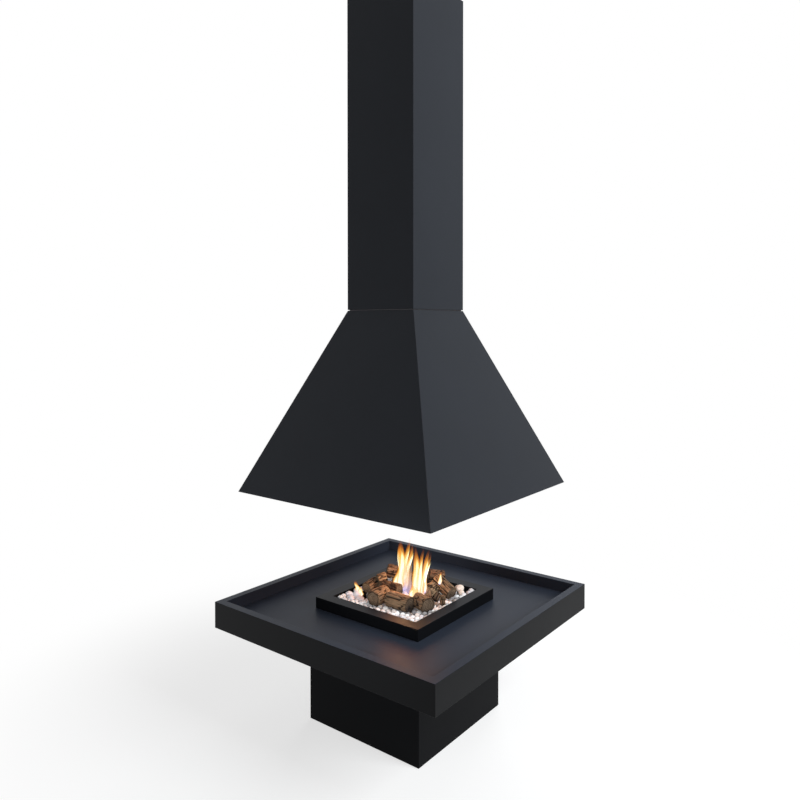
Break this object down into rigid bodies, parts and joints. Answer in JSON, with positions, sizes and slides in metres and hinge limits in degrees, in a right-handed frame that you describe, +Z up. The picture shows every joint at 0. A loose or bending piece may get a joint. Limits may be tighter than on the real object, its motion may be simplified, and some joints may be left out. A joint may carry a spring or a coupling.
{
  "type": "hanging fireplace",
  "caption": "Square gas fireplace: a tray hearth with logs and pebbles on a pedestal, under a flared smoke hood and square chimney casing hung from the ceiling.",
  "frame": {"origin": "middle of the pedestal's foot on the floor", "axes": "+Z up to the ceiling, -Y the front, +Y the side with the access door"},
  "size_m": [1, 1, 2.7],
  "materials": {
    "black_steel": "satin black powder coat",
    "dark_steel": "heat-proof matt black",
    "zinc_steel": "zinc plated",
    "stainless": "plain stainless, lightly brushed",
    "brass": "turned brass",
    "cast_alloy": "die cast",
    "copper": "bare drawn copper",
    "white_ceramic": "white glaze",
    "ceramic_log": "matt, coloured and grooved as bark",
    "pebble": "matt, tumbled",
    "black_plastic": "satin",
    "red_button": "gloss",
    "red_lever": "dipped coating"
  },
  "bodies": {
    "base": {"base_plate": "zinc_steel", "pedestal_shell": "black_steel", "bearer_frame": "dark_steel", "hearth_top": "black_steel", "burner_surround": "black_steel", "burner_pan": "dark_steel", "media_plate": "dark_steel", "burner_ring": "stainless", "burner_feed_pipe": "brass", "ignition_electrode": "white_ceramic", "thermocouple": "copper", "log_01": "ceramic_log", "log_02": "ceramic_log", "log_03": "ceramic_log", "log_04": "ceramic_log", "log_05": "ceramic_log", "log_06": "ceramic_log", "log_07": "ceramic_log", "log_08": "ceramic_log", "log_09": "ceramic_log", "log_10": "ceramic_log", "log_11": "ceramic_log", "log_12": "ceramic_log", "log_13": "ceramic_log", "log_14": "ceramic_log", "log_15": "ceramic_log", "pebble_bed": "pebble", "gas_inlet_pipe": "zinc_steel", "gas_cock": "brass", "supply_pipe": "copper", "control_bracket": "zinc_steel", "gas_valve": "cast_alloy", "igniter_body": "black_plastic", "door_hinge_lower": "zinc_steel", "door_hinge_upper": "zinc_steel", "hood_front_panel": "black_steel", "hood_right_panel": "black_steel", "hood_rear_panel": "black_steel", "hood_left_panel": "black_steel", "hood_top_frame": "dark_steel", "smoke_collar": "dark_steel", "flue_pipe_lower": "stainless", "flue_pipe_upper": "stainless", "flue_clamp": "stainless", "chimney_casing": "black_steel", "chimney_rear_cover": "black_steel", "ceiling_plate": "zinc_steel", "hanger_rod_1": "zinc_steel", "hanger_rod_2": "zinc_steel", "hanger_rod_3": "zinc_steel", "hanger_rod_4": "zinc_steel"},
    "access_door": {"access_door": "black_steel"},
    "door_latch": {"door_latch": "zinc_steel"},
    "gas_knob": {"gas_knob": "black_plastic"},
    "igniter_button": {"igniter_button": "red_button"},
    "gas_cock_lever": {"gas_cock_lever": "red_lever"},
    "damper": {"damper_plate": "dark_steel", "damper_handle": "black_steel"}
  },
  "joints": [
    {"name": "door_swing", "type": "hinge", "parent": "base", "child": "access_door", "pos_m": [-0.196, 0.261, 0.185], "axis": [0, 0, 1], "range_deg": [0, 110]},
    {"name": "latch_turn", "type": "hinge", "parent": "access_door", "child": "door_latch", "pos_m": [0.162, 0.255, 0.185], "axis": [0, 1, 0], "range_deg": [-90, 0]},
    {"name": "gas_knob_turn", "type": "hinge", "parent": "base", "child": "gas_knob", "pos_m": [0.058, 0.15, 0.196], "axis": [0, 1, 0], "range_deg": [-180, 0]},
    {"name": "igniter_press", "type": "slide", "parent": "base", "child": "igniter_button", "axis": [0, -1, 0], "range_m": [0, 0.006], "stiffness_N_per_m": 600},
    {"name": "gas_cock_turn", "type": "hinge", "parent": "base", "child": "gas_cock_lever", "pos_m": [-0.13, 0.09, 0.1233], "axis": [0, 1, 0], "range_deg": [0, 90]},
    {"name": "damper_turn", "type": "hinge", "parent": "base", "child": "damper", "pos_m": [0, 0, 1.499], "axis": [1, 0, 0], "range_deg": [0, 90]}
  ]
}
